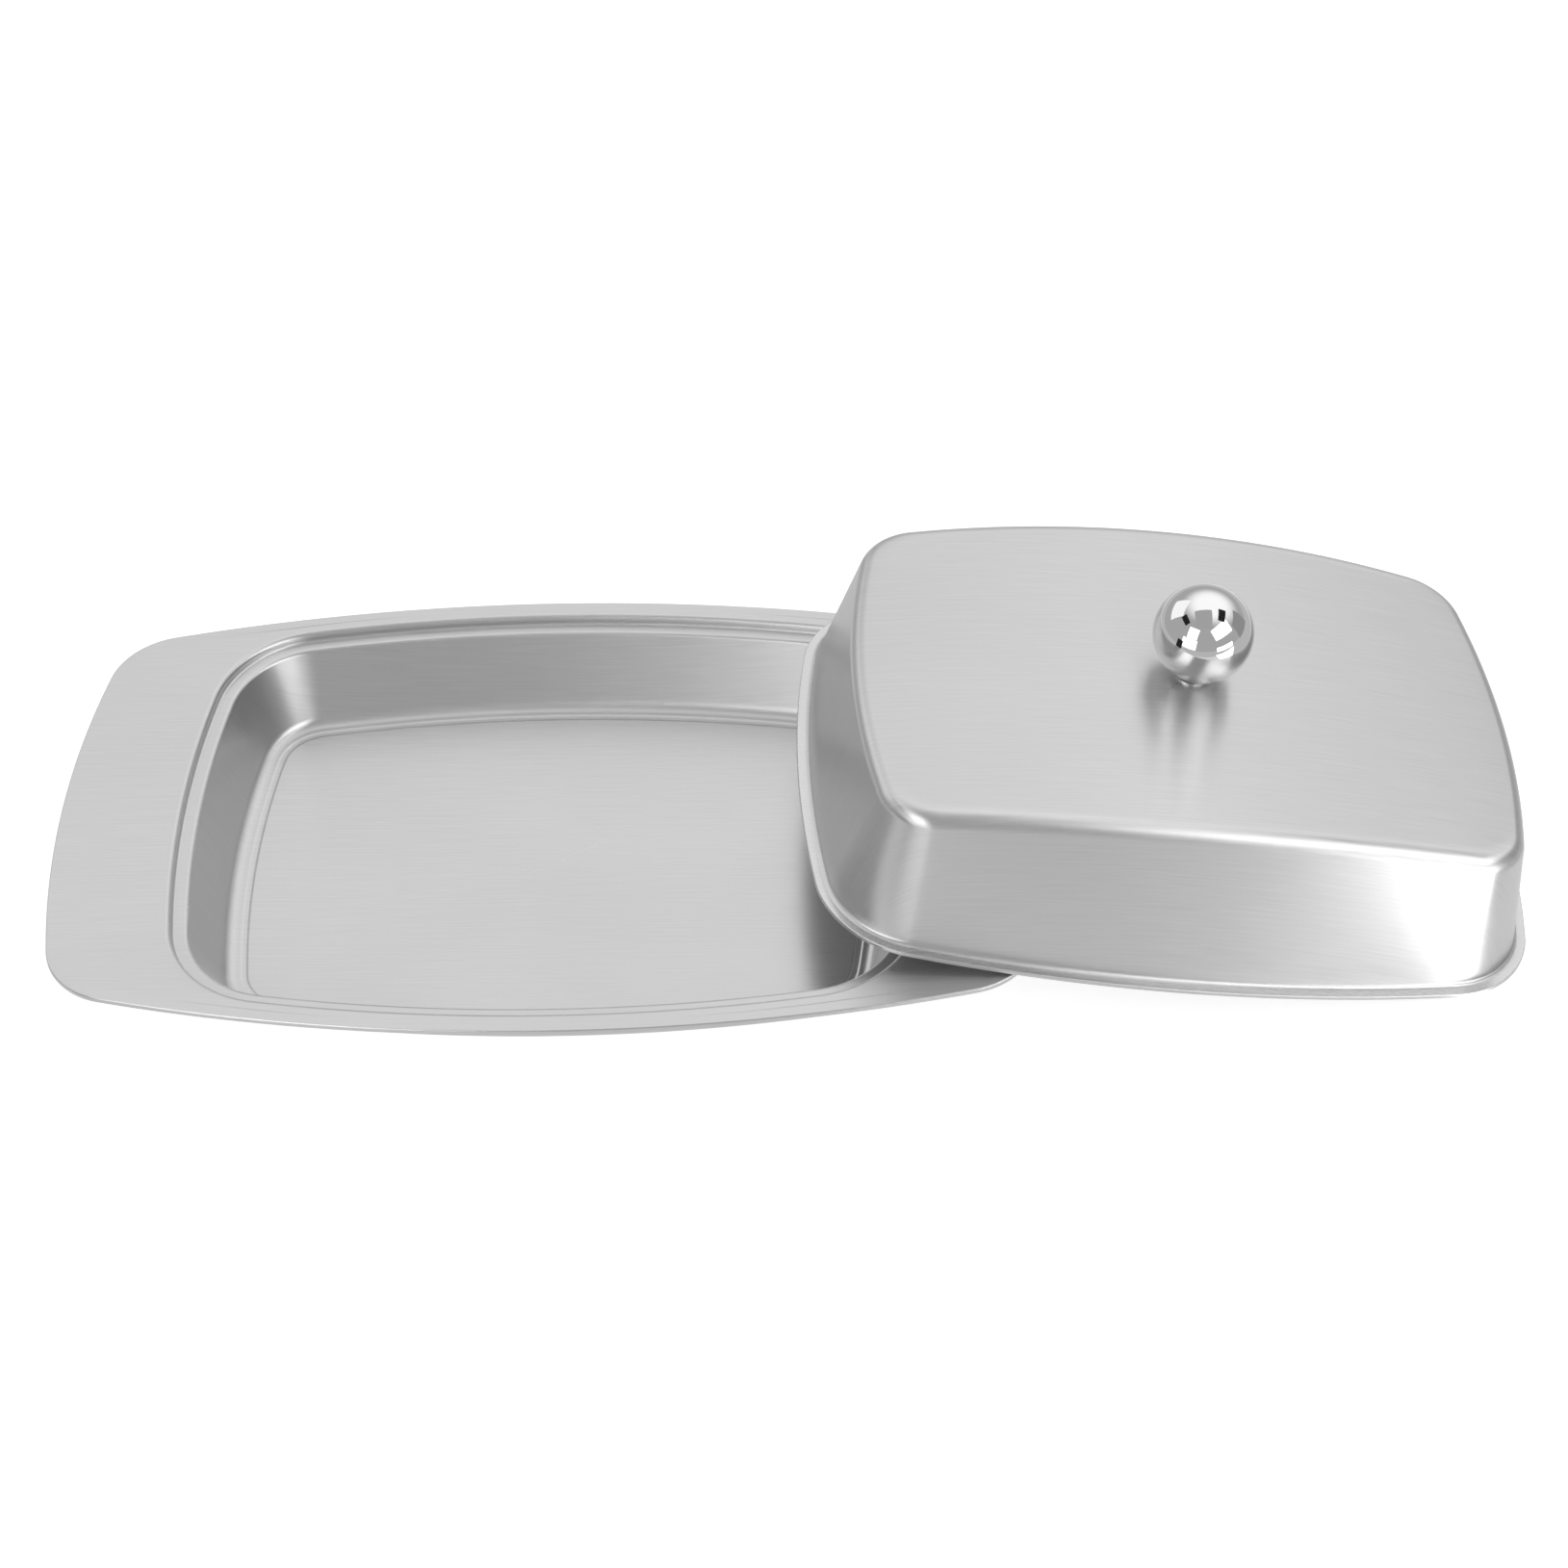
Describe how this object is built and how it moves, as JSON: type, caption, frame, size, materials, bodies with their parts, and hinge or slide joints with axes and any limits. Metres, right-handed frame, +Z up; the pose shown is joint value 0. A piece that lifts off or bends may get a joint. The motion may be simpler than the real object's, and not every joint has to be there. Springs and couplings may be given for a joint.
{
  "type": "butter dish",
  "caption": "Stainless steel butter dish with wide end handles, and its domed lid with a ball knob standing beside it, propped on one handle.",
  "frame": {"origin": "centre of the dish's flat underside, on the table", "axes": "+Z up; +X along the dish's length, towards the lid that stands beside it; +Y across the dish, towards its back"},
  "size_m": [0.2887, 0.1195, 0.0638],
  "materials": {
    "dish_steel": "fine satin brushed along the length",
    "lid_steel": "fine satin brushed along the length",
    "polished_ball": "mirror polished",
    "fastener_steel": "plain bright"
  },
  "bodies": {
    "dish": {"dish": "dish_steel"},
    "lid": {"lid": "lid_steel", "knob_ball": "polished_ball", "knob_washer": "fastener_steel", "knob_screw": "fastener_steel"}
  },
  "joints": [
    {"name": "lid_lift", "type": "slide", "parent": "dish", "child": "lid", "axis": [0, 0, 1], "range_m": [0, 0.12]}
  ]
}
